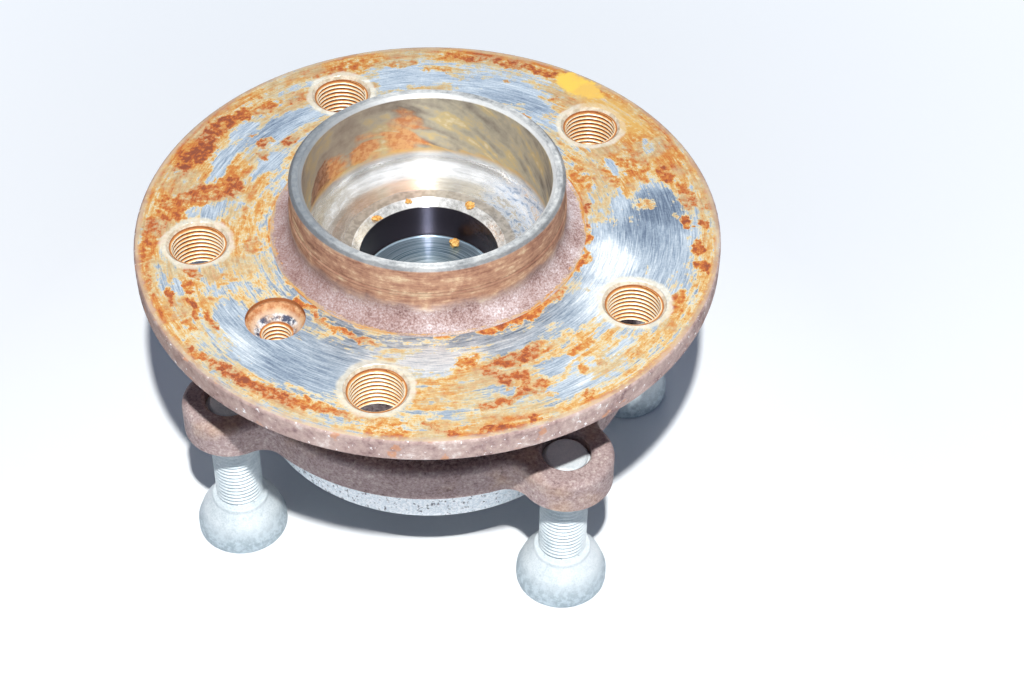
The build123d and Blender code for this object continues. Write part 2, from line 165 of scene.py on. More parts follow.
class Graph:
    """Node tree of one material, built by short calls. Lengths in it are millimetres."""

    def __init__(self, name):
        self.material = bpy.data.materials.new(name)
        self.material.use_nodes = True
        self.tree = self.material.node_tree
        self.tree.nodes.clear()
        output = self.node("ShaderNodeOutputMaterial")
        self.shader = self.node("ShaderNodeBsdfPrincipled")
        self.tree.links.new(self.shader.outputs["BSDF"], output.inputs["Surface"])
        place = self.node("ShaderNodeTexCoord").outputs["Object"]
        self.place = self.vector("SCALE", place, scale=1 / MM)
        split = self.node("ShaderNodeSeparateXYZ")
        self.put(split.inputs[0], self.place)
        self.x, self.y, self.z = split.outputs
        self.radius = self.math("SQRT", self.add(self.mul(self.x, self.x), self.mul(self.y, self.y)))
        self.flat = self.combine(self.x, self.y, 0.0)

    def node(self, kind, **settings):
        made = self.tree.nodes.new(kind)
        for key, value in settings.items():
            setattr(made, key, value)
        return made

    def put(self, socket, value):
        """Link a socket to an output, or set a value on it. A colour of three numbers is a screen colour."""
        if isinstance(value, bpy.types.NodeSocket):
            self.tree.links.new(value, socket)
        else:
            screen_colour = socket.type == "RGBA" and len(value) == 3
            socket.default_value = srgb(value) if screen_colour else value

    def math(self, operation, *values):
        made = self.node("ShaderNodeMath", operation=operation)
        for socket, value in zip(made.inputs, values):
            self.put(socket, value)
        return made.outputs[0]

    def add(self, a, b):
        return self.math("ADD", a, b)

    def sub(self, a, b):
        return self.math("SUBTRACT", a, b)

    def mul(self, a, b):
        return self.math("MULTIPLY", a, b)

    def both(self, *masks):
        """Product of masks."""
        result = masks[0]
        for mask in masks[1:]:
            result = self.mul(result, mask)
        return result

    def most(self, *masks):
        """Largest of masks."""
        result = masks[0]
        for mask in masks[1:]:
            result = self.math("MAXIMUM", result, mask)
        return result

    def invert(self, mask):
        return self.sub(1.0, mask)

    def swing(self, value, amount):
        """A noise moved to lie round 0, and stretched."""
        return self.mul(self.sub(value, 0.5), amount)

    def total(self, *parts):
        """Sum of (value, weight) parts."""
        weighted = [self.mul(value, weight) for value, weight in parts]
        result = weighted.pop()
        while weighted:
            result = self.add(weighted.pop(), result)
        return result

    def vector(self, operation, *values, scale=None):
        made = self.node("ShaderNodeVectorMath", operation=operation)
        for socket, value in zip(made.inputs, values):
            self.put(socket, value)
        if scale is not None:
            self.put(made.inputs["Scale"], scale)
        return made.outputs["Value"] if operation in ("LENGTH", "DISTANCE") else made.outputs[0]

    def combine(self, x, y, z):
        made = self.node("ShaderNodeCombineXYZ")
        for socket, value in zip(made.inputs, (x, y, z)):
            self.put(socket, value)
        return made.outputs[0]

    def ramp(self, value, low, high, to_low=0.0, to_high=1.0, kind="SMOOTHSTEP"):
        """Value mapped from low..high to to_low..to_high, held at both ends."""
        made = self.node("ShaderNodeMapRange", interpolation_type=kind)
        settings = {"Value": value, "From Min": low, "From Max": high, "To Min": to_low, "To Max": to_high}
        for key, item in settings.items():
            self.put(made.inputs[key], item)
        return made.outputs[0]

    def band(self, value, low, high, soft):
        """1 between low and high, fading over soft at each end."""
        rise = self.ramp(value, low - soft / 2, low + soft / 2)
        fall = self.ramp(value, high - soft / 2, high + soft / 2, 1.0, 0.0)
        return self.mul(rise, fall)

    def above(self, value, level, soft):
        return self.ramp(value, level - soft / 2, level + soft / 2)

    def below(self, value, level, soft):
        return self.ramp(value, level - soft / 2, level + soft / 2, 1.0, 0.0)

    def noise(self, vector, size, detail=3.0, roughness=0.55, distortion=0.0, offset=0.0):
        """Fractal noise, mostly 0.25 to 0.75, of features about size across. offset picks another stretch."""
        made = self.node("ShaderNodeTexNoise")
        if offset:
            vector = self.vector("ADD", vector, (offset * size, offset * size * 0.7, offset * size * 1.3))
        self.put(made.inputs["Vector"], vector)
        settings = {"Scale": 1 / size, "Detail": detail, "Roughness": roughness, "Distortion": distortion}
        for key, value in settings.items():
            self.put(made.inputs[key], value)
        return made.outputs["Fac"]

    def facing(self, turn):
        """X and y of the direction from the spin axis, each times turn."""
        safe = self.math("MAXIMUM", self.radius, AXIS_GUARD)
        return [self.mul(self.math("DIVIDE", value, safe), turn) for value in (self.x, self.y)]

    def polar(self, across, along):
        """Vector for a turned face: noise of size 1 has features across by along, along runs round it."""
        x, y = self.facing(ARC_R / along)
        out = self.add(self.mul(self.radius, 1 / across), self.mul(self.z, DOWN_SHARE / across))
        return self.combine(x, y, out)

    def round_about(self, along, up):
        """Vector for a wall round the axis: noise of size 1 has features along by up."""
        return self.combine(*self.facing(COLLAR_WALL_R / along), self.mul(self.z, 1 / up))

    def mix(self, factor, a, b):
        made = self.node("ShaderNodeMix", data_type="RGBA")
        colour_in = [socket for socket in made.inputs if socket.type == "RGBA"]
        self.put(made.inputs[0], factor)
        self.put(colour_in[0], a)
        self.put(colour_in[1], b)
        return [socket for socket in made.outputs if socket.type == "RGBA"][0]

    def tones(self, value, low, high, first, second):
        """Colour that goes from the first to the second as a value goes from low to high."""
        return self.mix(self.ramp(value, low, high), first, second)

    def blend(self, factor, a, b):
        """Number between a and b."""
        made = self.node("ShaderNodeMix", data_type="FLOAT")
        self.put(made.inputs[0], factor)
        self.put(made.inputs[2], a)
        self.put(made.inputs[3], b)
        return made.outputs[0]

    def colours(self, value, *stops):
        """Colour ramp through (position, screen colour) stops."""
        made = self.node("ShaderNodeValToRGB")
        ramp = made.color_ramp
        while len(ramp.elements) < len(stops):
            ramp.elements.new(0.5)
        for element, (position, colour) in zip(ramp.elements, stops):
            element.position = position
            element.color = srgb(colour)
        self.put(made.inputs[0], value)
        return made.outputs[0]

    def unrolled(self, shift_along, shift_out):
        """Two vectors of (arc length, radius): one has its seam at 180 degrees, the other at 0."""
        turn = self.math("ARCTAN2", self.y, self.x)
        whole = self.math("FLOORED_MODULO", turn, 2 * math.pi)
        out = self.add(self.radius, shift_out)
        arcs = [self.add(self.mul(angle, ARC_R), shift_along) for angle in (turn, whole)]
        return [self.combine(arc, out, 0.0) for arc in arcs]

    def oval(self, unrolled, angle, radius, half_length, half_width):
        """Distance from the middle of an oval that lies along an arc round the axis: 1 on its edge."""
        wrapped = abs(angle) > FACE_SEAM_ANGLE
        along = math.radians(angle % 360 if wrapped else angle) * ARC_R
        reach = half_length * ARC_R / radius
        scale = (1 / reach, 1 / half_width, 0.0)
        move = (-along / reach, -radius / half_width, 0.0)
        return self.vector("LENGTH", self.vector("MULTIPLY_ADD", unrolled[wrapped], scale, move))

    def patches(self, unrolled, rows):
        """Largest of many soft ovals. A row is (angle, radius, half length, half width, weight)."""
        result = None
        for *place, weight in rows:
            level = self.ramp(self.oval(unrolled, *place), 0.55, 1.45, weight, 0.0)
            result = level if result is None else self.math("MAXIMUM", result, level)
        return result

    def spot(self, centre, reach, soft, shake):
        """1 within reach of a point on the part, fading over soft. shake moves its edge."""
        away = self.add(self.vector("DISTANCE", self.place, centre), shake)
        return self.below(away, reach, soft)

    def bump(self, height, depth, after=None, where=1.0):
        """Normal of a surface whose height of 0 to 1 stands for a depth in millimetres, where a mask is 1."""
        made = self.node("ShaderNodeBump")
        self.put(made.inputs["Height"], height)
        self.put(made.inputs["Distance"], depth * MM)
        self.put(made.inputs["Strength"], where)
        if after is not None:
            self.put(made.inputs["Normal"], after)
        return made.outputs[0]

    def finish(self, **sockets):
        for key, value in sockets.items():
            self.put(self.shader.inputs[key.replace("_", " ")], value)
        return self.material


def near_wheel_hole(graph):
    """Distance in millimetres from the axis of the nearest wheel bolt hole."""
    step = math.radians(WHEEL_HOLE_STEP)
    angle = graph.math("ARCTAN2", graph.y, graph.x)
    turned = graph.sub(angle, math.radians(WHEEL_HOLE_PHASE) - step / 2)
    local = graph.sub(graph.math("FLOORED_MODULO", turned, step), step / 2)
    x = graph.sub(graph.mul(graph.radius, graph.math("COSINE", local)), WHEEL_CIRCLE_R)
    y = graph.mul(graph.radius, graph.math("SINE", local))
    return graph.math("SQRT", graph.add(graph.mul(x, x), graph.mul(y, y)))


# Rust on the wheel face: (angle, radius, half length, half width, weight). Heavier rust is redder.
FACE_RUST = [
    (157, 64.4, 9, 3.7, 1.05), (147, 65.4, 8, 3.2, 1.0), (141.5, 64.2, 4.5, 2.4, 0.95),
    (176, 63.5, 7, 5, 0.85), (171, 58, 6, 4, 0.9), (165, 51, 5, 3, 0.95), (168, 54.5, 6, 3.5, 0.85),
    (145, 52, 3, 1.6, 0.95), (139.6, 48, 3.6, 1.5, 0.9), (150, 49.3, 1.8, 1.4, 0.9),
    (146, 56.5, 1.2, 0.9, 0.8),
    (134.6, 62.6, 5, 2.6, 0.75), (126.3, 60.3, 4.5, 2.4, 0.7), (131, 67, 8, 1.8, 0.6),
    (-177, 67, 8, 3.5, 0.8), (-169.5, 69.3, 7, 2.6, 0.85), (-162, 69.8, 6, 1.6, 0.8), (-156, 70, 5, 1.2, 0.7),
    (-169.3, 43.5, 6, 2.4, 0.68), (176.8, 45.5, 4, 1.5, 0.62), (-178, 50, 3, 2, 0.62),
    (-163, 58.5, 5.5, 1.5, 0.85), (-157.5, 60.6, 4, 1.4, 0.85), (-155.5, 65.2, 4, 1.2, 0.9),
    (-150.5, 62, 4.5, 1.3, 0.9), (-144.5, 60, 5, 1.1, 0.88), (-156.4, 52, 2.6, 4, 0.64),
    (-152, 56.4, 4, 1.6, 0.68), (-147, 65, 4.5, 2, 0.72),
    (-139.5, 68.3, 5, 1.8, 0.8), (-132.4, 67.4, 6.5, 2.2, 0.9), (-125.5, 66.8, 6.5, 2.4, 0.95),
    (-118.7, 66, 6, 2.3, 0.95), (-112, 65, 7, 2, 0.85), (-104, 66, 7, 1.8, 0.75), (-96, 66.5, 6, 1.6, 0.62),
    (-134.4, 39.6, 3, 1.2, 0.9), (-128, 40.4, 4, 0.9, 0.8), (-119, 41.5, 6, 1, 0.8),
    (-109.7, 42, 5, 0.8, 0.75), (-57.7, 38.8, 6, 1.4, 0.95), (-66, 39.6, 4, 1.2, 0.85),
    (-48, 39.2, 5, 1.2, 0.82), (-37, 39.6, 4, 1.2, 0.77),
    (-62.7, 49.8, 8.5, 2.6, 0.92), (-76.6, 47.4, 3.5, 1.6, 0.8), (-72, 51.5, 4.5, 2, 0.82),
    (-67.5, 56, 5.5, 3, 0.88), (-64.4, 60.2, 4.5, 2, 0.85), (-71.5, 61.5, 7, 1.8, 0.82),
    (-74.7, 69.4, 7, 1.5, 0.98), (-67.7, 68.6, 2, 1.4, 0.95), (-82.6, 68.9, 2.6, 1.3, 0.9),
    (-87.2, 67.2, 3, 1.6, 0.72), (-95.6, 69, 6, 1.3, 0.8), (-48.3, 55.7, 4.5, 2, 0.72),
    (-52.2, 61.1, 2, 1.4, 0.62), (-47.1, 61.8, 2.6, 1.6, 0.64), (-61.2, 63.5, 1.6, 1.5, 0.72),
    (-55.1, 67.6, 1.9, 1.4, 0.8), (-40, 66, 5, 1.6, 0.58),
    (34, 63, 9, 3, 0.66), (27, 58, 8, 4, 0.66), (23.6, 55.5, 8, 3.2, 0.74), (26.3, 42, 6, 2.6, 0.68),
    (24, 48.5, 6, 2.2, 0.68), (18.4, 62.5, 3.4, 2, 0.92), (12, 64.5, 5, 2, 0.78), (10, 54.3, 2.6, 2.6, 0.76),
    (10, 39.2, 1.6, 1, 1.0), (1.9, 38.8, 3, 1, 0.95), (-17.9, 39.2, 5, 1, 0.8), (-8, 38.8, 4, 0.9, 0.85),
    (2.2, 63.1, 2.3, 1.6, 0.98), (2.2, 67.5, 2.3, 1.8, 0.98), (-5.5, 66.1, 2.4, 1.9, 0.95),
    (-11.4, 67.6, 2.6, 1.9, 0.95), (8.6, 64.8, 3.4, 1.9, 0.82), (8.2, 69, 3, 1.4, 0.72),
    (5, 61, 2, 1.1, 0.72),
    (-23, 65.3, 5.5, 2.4, 0.82),
    (112, 66, 12, 2.6, 0.74), (100, 64.5, 8, 2, 0.7), (84, 67.5, 8, 1.8, 0.86), (74, 66.6, 8, 1.6, 0.86),
    (65, 67, 8, 2, 0.9), (57, 68, 5, 2, 0.8), (72, 59.5, 1.2, 0.9, 0.8), (62, 48, 2.6, 1.4, 0.8),
    (58, 58.5, 1.8, 1, 0.75), (90, 61, 5, 0.8, 0.72), (108, 57, 3.5, 1.5, 0.66),
]

# Steel left bare on the wheel face, on the same terms. Its weight is taken off the rust.
FACE_BARE = [
    (144.9, 59.6, 4, 2.2, 0.6), (157, 57, 8, 2.2, 0.75), (136, 53.5, 10, 3, 0.75), (151, 46.5, 5, 2.6, 0.6),
    (175.2, 54.8, 6, 4, 0.45), (-157.7, 62.8, 3, 1.4, 0.6), (-154, 54, 3, 5, 0.3), (-141.6, 55.5, 8, 4, 0.5),
    (-129, 56.5, 11, 5, 0.6), (-115, 53, 12, 6, 0.6), (-61.1, 45.4, 6, 2, 0.6), (-55.9, 56.6, 5, 1.6, 0.5),
    (-70.1, 58.1, 2.2, 1.2, 0.7), (-57.9, 63.1, 5, 2.4, 0.5), (-37.8, 46.5, 6, 4, 0.5), (-13, 47, 12, 7, 0.6),
    (3, 57, 12, 6, 0.6), (-8, 58, 8, 5, 0.6), (30.3, 63.2, 2.4, 1.2, 0.5), (27.6, 51.4, 3, 1.6, 0.5),
    (9, 48.6, 5, 2.2, 0.5), (72, 55, 12, 4.5, 0.5), (96, 58, 10, 3.5, 0.45), (-86, 47.3, 6, 3, 0.45),
    (-25, 56, 8, 6, 0.4),
]

# Broad stretches of light stain on the wheel face, on the same terms. Their weight is added to the rest.
FACE_WARM = [
    (178, 60, 46, 22, 0.20), (-148, 66, 22, 7, 0.10), (-80, 58, 24, 13, 0.20), (-52, 60, 18, 12, 0.12),
    (28, 58, 24, 15, 0.22), (14, 44, 12, 4, 0.16), (0, 68, 30, 3, 0.10), (88, 68.5, 46, 3.2, 0.14),
    (128, 62, 18, 8, 0.10), (50, 62, 12, 8, 0.16), (-34, 66, 16, 6, 0.14),
]

# Tone of the bare steel: darker stretches, and lighter stretches that are partly paler steel and partly a
# painted sheen, on the same terms
FACE_DARK = [
    (7, 57, 7, 7, 0.13), (-2, 51, 6, 7, 0.08), (-122, 57, 11, 3.4, 0.03), (140, 55, 9, 3, 0.07),
    (66, 53, 10, 3, 0.06),
]
FACE_LIGHT_AND_SHEEN = [
    (-14, 46, 9, 6, 0.13), (-30, 51, 9, 8, 0.11), (-86, 46, 13, 5, 0.14), (-100, 50, 7, 9, 0.10),
    (-61, 45, 8, 2, 0.06), (-48, 62, 12, 6, 0.07), (-135, 60, 9, 3, 0.06),
]


def rust_colours(g, field, fine):
    """Colour of a rusting face: cream where it starts, then yellow ochre, tan, orange and red-brown."""
    return g.colours(
        g.add(field, g.swing(fine, 0.32)),
        (0.30, (220, 218, 202)),
        (0.38, (225, 212, 175)),
        (0.47, (222, 187, 126)),
        (0.58, (211, 154, 86)),
        (0.70, (206, 129, 67)),
        (0.84, (187, 102, 59)),
        (1.00, (146, 83, 61)),
    )


def flange_material():
    """Wheel flange: turned face with rust patches, paler rings round its holes, rusted skin elsewhere."""
    g = Graph("wheel_flange_finish")
    warp = g.noise(g.flat, 5.5, 5.0, 0.66)
    warp_two = g.noise(g.flat, 5.5, 5.0, 0.66, offset=9.0)
    fine = g.noise(g.place, 0.55, 4.0, 0.65)
    grain = g.noise(g.place, 1.9, 5.0, 0.68, offset=3.0)
    blotch = g.noise(g.place, 7.0, 4.0, 0.55, offset=5.0)
    turning = g.noise(g.polar(0.32, 6.0), 1.0, 3.0, 0.65)
    hatch = g.noise(g.polar(0.45, 4.5), 1.0, 4.0, 0.75, offset=31.0)
    streaks = g.noise(g.polar(1.1, 12.0), 1.0, 4.0, 0.65, offset=4.0)
    wide = g.noise(g.polar(2.8, 12.0), 1.0, 5.0, 0.65, distortion=0.5, offset=14.0)

    # Rust on the face: patches with ragged edges, over a light stain that follows the turning
    ragged = g.unrolled(g.swing(warp, 9.0), g.swing(warp_two, 8.0))
    rust = g.patches(ragged, FACE_RUST)
    bare = g.patches(ragged, FACE_BARE)
    foot = g.both(g.band(g.radius, *FACE_FOOT, 1.6), g.ramp(wide, 0.40, 0.60, 0.1, 0.66))
    spread = g.add(g.swing(streaks, 0.45), g.swing(wide, 1.1))
    towards_rim = g.ramp(g.radius, 66.0, 69.5, 0.27, 0.40)
    stain = g.add(g.add(g.patches(ragged, FACE_WARM), towards_rim), spread)
    stain = g.add(stain, g.ramp(g.y, 25.0, 60.0, 0.0, 0.07))
    specks = g.ramp(fine, 0.58, 0.72, 0.0, 0.16)
    rough_field = g.add(specks, g.add(g.swing(grain, 0.7), g.swing(hatch, 0.6)))
    field = g.add(g.most(stain, g.mul(rust, g.ramp(grain, 0.32, 0.60, 0.66, 0.96)), foot), rough_field)
    field = g.sub(field, g.mul(bare, g.ramp(rust, 0.5, 0.9, 0.62, 0.2)))
    tone = g.add(g.mul(turning, 0.4), g.total((streaks, 0.2), (hatch, 0.25), (fine, 0.15)))
    tone = g.sub(g.add(tone, g.patches(ragged, FACE_LIGHT_AND_SHEEN)), g.patches(ragged, FACE_DARK))
    steel = g.colours(
        tone,
        (0.34, (90, 106, 128)),
        (0.45, (142, 158, 176)),
        (0.55, (186, 199, 211)),
        (0.68, (243, 247, 249)),
    )
    rusted = g.ramp(field, 0.29, 0.38)
    rust_cover = rust_colours(g, g.add(field, g.swing(blotch, 0.25)), fine)
    dull = g.ramp(g.noise(g.flat, 11.0, 4.0, 0.6, offset=41.0), 0.44, 0.60, 0.0, 0.5)
    dull = g.both(dull, g.below(field, 0.72, 0.2))
    olive = g.tones(hatch, 0.36, 0.62, (156, 146, 126), (214, 204, 172))
    rust_cover = g.mix(dull, rust_cover, olive)
    face = g.mix(rusted, steel, rust_cover)

    # Paler ring of steel round each hole, the paint mark by one of them, the tan edge of the rim
    hole = near_wheel_hole(g)
    screw_hole = g.vector("DISTANCE", g.flat, DISC_SCREW_PLACE)
    hole_ring = g.mul(g.below(g.add(hole, g.swing(warp, 3.0)), 9.0, 1.0), 0.75)
    face = g.mix(hole_ring, face, g.tones(grain, 0.4, 0.6, (222, 214, 192), (240, 236, 222)))
    edge = g.mul(g.above(g.add(g.radius, g.swing(grain, 3.0)), FACE_EDGE_R, 1.2), 0.75)
    face = g.mix(edge, face, g.tones(blotch, 0.4, 0.6, (186, 158, 140), (210, 190, 166)))
    paint = g.below(g.oval(ragged, 56.0, 66.6, 7.4, 3.8), 1.0, 0.35)
    paint = g.mul(paint, g.ramp(grain, 0.25, 0.4, 0.7, 1.0))
    paint_trail = g.below(g.oval(ragged, 44.0, 64.0, 12.0, 4.2), 1.0, 0.8)
    paint_trail = g.mul(paint_trail, g.ramp(hatch, 0.3, 0.6, 0.3, 0.75))
    face = g.mix(paint_trail, face, (226, 184, 106))
    face = g.mix(paint, face, g.tones(blotch, 0.4, 0.6, (250, 210, 92), (240, 196, 98)))

    # Forged skin: rim side and back, the back darker, partly rust and partly painted shade
    skin = g.colours(
        g.total((grain, 0.55), (blotch, 0.45)),
        (0.36, (140, 114, 114)),
        (0.46, (184, 158, 152)),
        (0.56, (204, 180, 172)),
        (0.66, (236, 224, 218)),
    )
    skin = g.mix(g.ramp(g.x, -66.0, -25.0, 0.45, 0.0), skin, (146, 116, 98))
    spots = g.ramp(g.noise(g.place, 5.0, 3.0, 0.6, offset=11.0), 0.60, 0.68)
    skin = g.mix(g.mul(spots, 0.7), skin, (214, 152, 112))
    chips = g.ramp(g.noise(g.place, 1.1, 2.0, 0.6, offset=21.0), 0.66, 0.70)
    skin = g.mix(chips, skin, (250, 246, 246))
    # Underside: darker rust that is also painted shade, to keep the shade beneath the flange dark.
    underside_rust_and_shade = g.mul(g.below(g.z, UNDERSIDE_Z, 0.15), 0.85)
    skin = g.mix(underside_rust_and_shade, skin, g.tones(grain, 0.4, 0.6, (84, 68, 68), (122, 98, 92)))

    on_face = g.above(g.z, FACE_Z, 0.12)
    in_mouths = g.most(g.below(hole, HOLE_MOUTH_R, 0.1), g.below(screw_hole, SCREW_MOUTH_R, 0.1))
    in_holes = g.both(g.below(g.z, HOLE_WALL_Z, 0.1), in_mouths)
    hole_wall = g.tones(grain, 0.35, 0.65, (200, 184, 158), (240, 228, 206))
    cone = g.tones(grain, 0.36, 0.66, (188, 122, 78), (228, 186, 142))
    cone = g.mix(g.mul(g.below(g.z, -2.8, 1.0), 0.6), cone, (240, 220, 196))
    cone_edge = g.mul(g.above(g.add(g.z, g.swing(grain, 1.5)), -1.1, 0.6), 0.85)
    cone = g.mix(cone_edge, cone, (176, 104, 58))
    bare_band = g.mul(g.band(g.z, -4.9, -3.5, 0.5), g.ramp(blotch, 0.42, 0.56))
    cone = g.mix(bare_band, cone, g.tones(grain, 0.44, 0.56, (82, 90, 112), (240, 244, 248)))
    hole_wall = g.mix(g.below(screw_hole, 8.0, 0.1), hole_wall, cone)
    colour = g.mix(in_holes, g.mix(on_face, skin, face), hole_wall)

    clean_face = g.both(on_face, g.invert(rusted), g.invert(paint), g.invert(edge))
    roughness = g.blend(clean_face, 0.82, g.ramp(turning, 0.35, 0.65, 0.32, 0.5))
    roughness = g.blend(paint, roughness, 0.4)
    normal = g.bump(turning, 0.05, where=clean_face)
    normal = g.bump(g.total((fine, 0.5), (grain, 0.5)), 0.16, normal, g.mul(on_face, rusted))
    normal = g.bump(fine, 0.28, normal, g.below(g.z, -0.3, 0.2))
    metal = g.mul(clean_face, 0.7)
    return g.finish(Base_Color=colour, Metallic=metal, Roughness=roughness, Normal=normal, **RUST_GLOSS)


def spindle_material():
    """Middle of the hub: brown collar with a sandy foot, bright lip and bowl, bore painted dark as shade,
    clean spindle.
    """
    g = Graph("spindle_finish")
    fine = g.noise(g.place, 0.5, 4.0, 0.7)
    grain = g.noise(g.place, 1.5, 4.0, 0.65, offset=3.0)
    blotch = g.noise(g.place, 7.0, 4.0, 0.6, offset=5.0)
    streaks = g.noise(g.polar(1.1, 16.0), 1.0, 4.0, 0.65, offset=4.0)
    shake = g.swing(blotch, 6.0)

    # Foot of the collar: sandy grain, with a line of rust where the turned face begins
    sand = g.colours(
        g.total((fine, 0.6), (blotch, 0.4)),
        (0.36, (124, 94, 92)),
        (0.47, (180, 153, 148)),
        (0.56, (210, 193, 193)),
        (0.66, (248, 244, 248)),
    )
    sand = g.mix(g.ramp(g.x, -34.0, 10.0, 0.45, 0.0), sand, (146, 112, 106))
    foot_line = g.above(g.add(g.radius, g.swing(grain, 3.5)), SAND_EDGE_R, 0.8)
    foot_line = g.mul(foot_line, g.ramp(streaks, 0.42, 0.58, 0.15, 1.0))
    foot_field = g.sub(g.mul(streaks, 1.3), 0.18)
    sand = g.mix(foot_line, sand, rust_colours(g, foot_field, fine))

    # Outside of the collar: brown with level streaks, cream where it has worn, and a fine step
    levels = g.noise(g.round_about(9.0, 0.8), 1.0, 4.0, 0.7, offset=1.0)
    worn = g.noise(g.round_about(10.0, 2.6), 1.0, 5.0, 0.7, offset=17.0)
    wall = g.colours(
        g.add(g.total((levels, 0.2), (grain, 0.2)), g.total((worn, 0.35), (blotch, 0.25))),
        (0.39, (116, 82, 70)),
        (0.46, (174, 129, 107)),
        (0.53, (204, 162, 134)),
        (0.60, (238, 216, 180)),
    )
    step_line = g.mul(g.band(g.add(g.z, g.swing(grain, 1.0)), 8.0, 8.9, 0.3), 0.5)
    wall = g.mix(step_line, wall, (128, 94, 78))

    # Lip: grey with fine pits, and painted light and shade: a highlight along its inner edge, shade and dark
    # reflection towards one side, shade on its outer bevel
    lip = g.colours(
        g.total((grain, 0.4), (streaks, 0.3), (blotch, 0.3)),
        (0.36, (120, 124, 126)),
        (0.47, (182, 185, 186)),
        (0.60, (226, 228, 226)),
    )
    from_middle = g.add(g.radius, g.swing(grain, 1.6))
    # Painted highlight on the inner edge, painted shade and dark reflection towards one side, painted shade
    # on the outer bevel.
    lip = g.mix(g.mul(g.below(from_middle, 30.8, 0.4), 0.6), lip, (244, 246, 246))
    lip = g.mix(g.ramp(g.x, -30.0, -6.0, 0.7, 0.0), lip, (100, 110, 120))
    lip = g.mix(g.mul(g.above(from_middle, 32.5, 0.4), 0.6), lip, (88, 90, 94))

    # Inner wall: olive grey with slanting ochre streaks, and rust on one side
    slant = g.mul(g.add(g.z, g.mul(g.sub(g.x, g.y), 0.42)), 0.30)
    slanting = g.combine(g.mul(g.x, 0.07), g.mul(g.y, 0.07), slant)
    smear = g.noise(slanting, 1.0, 2.5, 0.5, distortion=0.6, offset=6.0)
    cloudy = g.noise(g.place, 8.0, 5.0, 0.62, offset=19.0)
    inner = g.colours(
        g.total((smear, 0.42), (cloudy, 0.58)),
        (0.36, (126, 116, 104)),
        (0.45, (168, 158, 142)),
        (0.52, (190, 180, 158)),
        (0.59, (212, 190, 140)),
        (0.68, (238, 226, 198)),
    )
    wipe = g.add(g.swing(smear, 16.0), g.swing(cloudy, 9.0))
    brown_side = g.mul(g.ramp(g.x, -26.0, 4.0, 0.5, 0.0), g.above(g.z, 4.0, 6.0))
    inner = g.mix(brown_side, inner, (160, 138, 122))
    warm_patch = g.most(
        g.spot((-9.0, 28.4, 3.2), 5.0, 4.0, wipe),
        g.spot((-15.5, 25.0, 1.8), 4.6, 3.6, wipe),
        g.spot((-24.6, 17.0, -0.5), 5.0, 3.0, wipe),
    )
    warm_tone = g.tones(grain, 0.4, 0.6, (214, 132, 76), (232, 172, 112))
    inner = g.mix(g.mul(warm_patch, 0.85), inner, warm_tone)
    brown_patch = g.most(
        g.spot((-27.6, 11.0, 0.5), 4.8, 1.6, wipe),
        g.spot((-26.0, 14.0, -4.5), 3.8, 1.6, wipe),
    )
    brown_tone = g.tones(grain, 0.4, 0.6, (132, 88, 66), (172, 124, 98))
    inner = g.mix(g.mul(brown_patch, 0.85), inner, brown_tone)
    edge_line = g.mul(g.band(g.add(g.z, g.swing(smear, 6.0)), -2.4, -0.8, 1.0), 0.65)
    inner = g.mix(edge_line, inner, (224, 184, 116))

    # Bowl, with scratched stretches on one side and a dull ring round the bore
    scratches = g.noise(g.polar(1.5, 7.0), 1.0, 5.0, 0.7, distortion=0.8, offset=12.0)
    bowl_cloud = g.total((streaks, 0.5), (blotch, 0.5))
    bowl = g.colours(bowl_cloud, (0.40, (214, 216, 218)), (0.56, (246, 248, 250)))
    scratched = g.mul(g.spot((23.0, 9.0, -7.0), 15.0, 8.0, shake), g.ramp(scratches, 0.38, 0.54))
    scratch_tone = g.tones(scratches, 0.46, 0.64, (214, 222, 234), (138, 154, 176))
    bowl = g.mix(scratched, bowl, scratch_tone)
    dulled = g.mul(g.spot((-20.0, 8.0, -7.5), 13.0, 9.0, shake), g.ramp(scratches, 0.35, 0.6, 0.2, 0.8))
    bowl = g.mix(dulled, bowl, (196, 192, 184))
    stained_ring = g.mul(g.band(g.add(g.radius, g.swing(blotch, 1.6)), 18.9, 21.6, 0.6), 0.8)
    stain = g.tones(grain, 0.4, 0.6, (148, 138, 126), (186, 178, 166))
    bowl = g.mix(stained_ring, bowl, stain)
    floor_marks = g.noise(g.polar(0.22, 60.0), 1.0, 2.0, 0.6, offset=8.0)
    bore_floor = g.colours(floor_marks, (0.38, (102, 130, 152)), (0.6, (186, 208, 224)))
    chamfer_cloud = g.total((grain, 0.5), (blotch, 0.5))
    bright = g.colours(chamfer_cloud, (0.38, (190, 190, 188)), (0.56, (250, 250, 250)))

